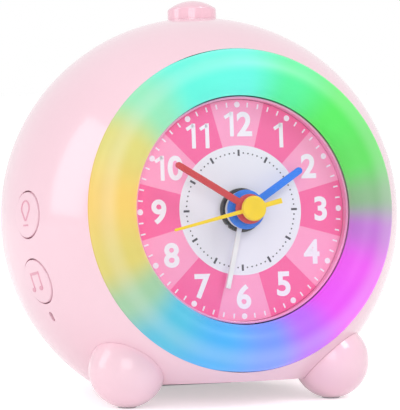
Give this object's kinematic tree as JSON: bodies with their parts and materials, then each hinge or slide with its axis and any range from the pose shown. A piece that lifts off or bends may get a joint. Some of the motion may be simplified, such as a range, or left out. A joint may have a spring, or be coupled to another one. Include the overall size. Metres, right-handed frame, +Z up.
{
  "type": "alarm clock",
  "caption": "Ball-shaped bedside alarm clock with a glowing night-light ring round its dial, push buttons, setting knobs and two round feet.",
  "frame": {"origin": "centre of the object's outline seen from above, on the surface it stands on", "axes": "+Z up, the dial faces -Y and leans back, +X to the viewer's right"},
  "size_m": [0.11, 0.0902, 0.1088],
  "materials": {
    "ball_pink": "gloss",
    "snooze_pink": "gloss",
    "ring_diffuser": "translucent satin",
    "white_plastic": "satin",
    "lilac_cup": "gloss",
    "dial_print": "printed satin",
    "lens_clear": "clear polished",
    "lamp_body": "clear",
    "black_plastic": "gloss",
    "hand_white": "painted",
    "hand_blue": "painted",
    "hand_red": "painted",
    "hand_yellow": "painted",
    "wheel_white": "satin",
    "wheel_brass": "bright",
    "magnet": "plated",
    "copper_coil": "enamelled wire",
    "board_green": "solder mask",
    "contact_steel": "plated",
    "screw_steel": "zinc plated",
    "cell_wrap": "wrapped",
    "pad_rubber": "matte"
  },
  "bodies": {
    "clock_body": {"batteries": "cell_wrap", "battery_bay": "white_plastic", "battery_contacts": "contact_steel", "battery_door": "ball_pink", "board_components": "black_plastic", "carrier_screws": "screw_steel", "case_screws": "screw_steel", "coil": "copper_coil", "cup_screws": "screw_steel", "dial_cup": "lilac_cup", "dial_nut": "black_plastic", "dial_plate": "dial_print", "door_screw": "screw_steel", "foot_pads": "pad_rubber", "foot_screws": "screw_steel", "front_shell": "ball_pink", "lamp_board": "white_plastic", "lamps": "lamp_body", "left_foot": "ball_pink", "lens": "lens_clear", "light_ring": "ring_diffuser", "main_board": "board_green", "movement_back": "white_plastic", "movement_front": "white_plastic", "rear_rest_pad": "pad_rubber", "rear_shell": "ball_pink", "right_foot": "ball_pink", "ring_carrier": "white_plastic", "side_board": "board_green", "side_switches": "black_plastic", "snooze_board": "board_green", "snooze_switch": "black_plastic", "speaker": "magnet", "switch_body": "black_plastic"},
    "snooze_button": {"snooze_button": "snooze_pink"},
    "light_button": {"light_button": "ball_pink"},
    "music_button": {"music_button": "ball_pink"},
    "alarm_switch": {"alarm_switch": "black_plastic"},
    "time_setting": {"time_knob": "white_plastic", "time_shaft": "wheel_white"},
    "minute_hand": {"minute_hand": "hand_red", "cannon_pinion": "wheel_white"},
    "hour_hand": {"hour_hand": "hand_blue", "hour_wheel": "wheel_white"},
    "alarm_setting": {"alarm_knob": "white_plastic", "alarm_shaft": "wheel_white"},
    "alarm_hand": {"alarm_hand": "hand_white", "alarm_wheel": "wheel_white"},
    "second_hand": {"second_hand": "hand_yellow", "hand_cap": "hand_yellow", "second_wheel": "wheel_brass"},
    "rotor": {"rotor": "magnet"}
  },
  "joints": [
    {"name": "snooze_press", "type": "slide", "parent": "clock_body", "child": "snooze_button", "axis": [0, -0.1045, -0.9945], "range_m": [0, 0.0015], "stiffness_N_per_m": 900},
    {"name": "light_press", "type": "slide", "parent": "clock_body", "child": "light_button", "axis": [0.9604, 0.2457, 0.1315], "range_m": [0, 0.0012], "stiffness_N_per_m": 900},
    {"name": "music_press", "type": "slide", "parent": "clock_body", "child": "music_button", "axis": [0.9604, 0.2457, 0.1315], "range_m": [0, 0.0012], "stiffness_N_per_m": 900},
    {"name": "alarm_switch_slide", "type": "slide", "parent": "clock_body", "child": "alarm_switch", "axis": [0, -0.1045, -0.9945], "range_m": [0, 0.004]},
    {"name": "time_setting_turn", "type": "hinge", "parent": "clock_body", "child": "time_setting", "pos_m": [0.0048, 0.00169, 0.05722], "axis": [0, -0.9945, 0.1045], "continuous": true},
    {"name": "minute_hand_turn", "type": "hinge", "parent": "clock_body", "child": "minute_hand", "pos_m": [0, 0.00083, 0.04895], "axis": [0, -0.9945, 0.1045], "continuous": true},
    {"name": "hour_hand_turn", "type": "hinge", "parent": "clock_body", "child": "hour_hand", "pos_m": [0, 0.00083, 0.04895], "axis": [0, -0.9945, 0.1045], "continuous": true},
    {"name": "alarm_setting_turn", "type": "hinge", "parent": "clock_body", "child": "alarm_setting", "pos_m": [-0.00823, 0.00185, 0.0587], "axis": [0, -0.9945, 0.1045], "continuous": true},
    {"name": "alarm_hand_turn", "type": "hinge", "parent": "clock_body", "child": "alarm_hand", "pos_m": [0, 0.00083, 0.04895], "axis": [0, -0.9945, 0.1045], "continuous": true},
    {"name": "second_hand_turn", "type": "hinge", "parent": "clock_body", "child": "second_hand", "pos_m": [0, 0.00083, 0.04895], "axis": [0, -0.9945, 0.1045], "continuous": true},
    {"name": "rotor_turn", "type": "hinge", "parent": "clock_body", "child": "rotor", "pos_m": [0, -0.00001, 0.04099], "axis": [0, -0.9945, 0.1045], "continuous": true}
  ],
  "couplings": [
    {"joint": "minute_hand_turn", "follows": "time_setting_turn", "ratio": -3},
    {"joint": "hour_hand_turn", "follows": "time_setting_turn", "ratio": -0.25},
    {"joint": "alarm_hand_turn", "follows": "alarm_setting_turn", "ratio": -0.33333},
    {"joint": "rotor_turn", "follows": "second_hand_turn", "ratio": -7}
  ]
}
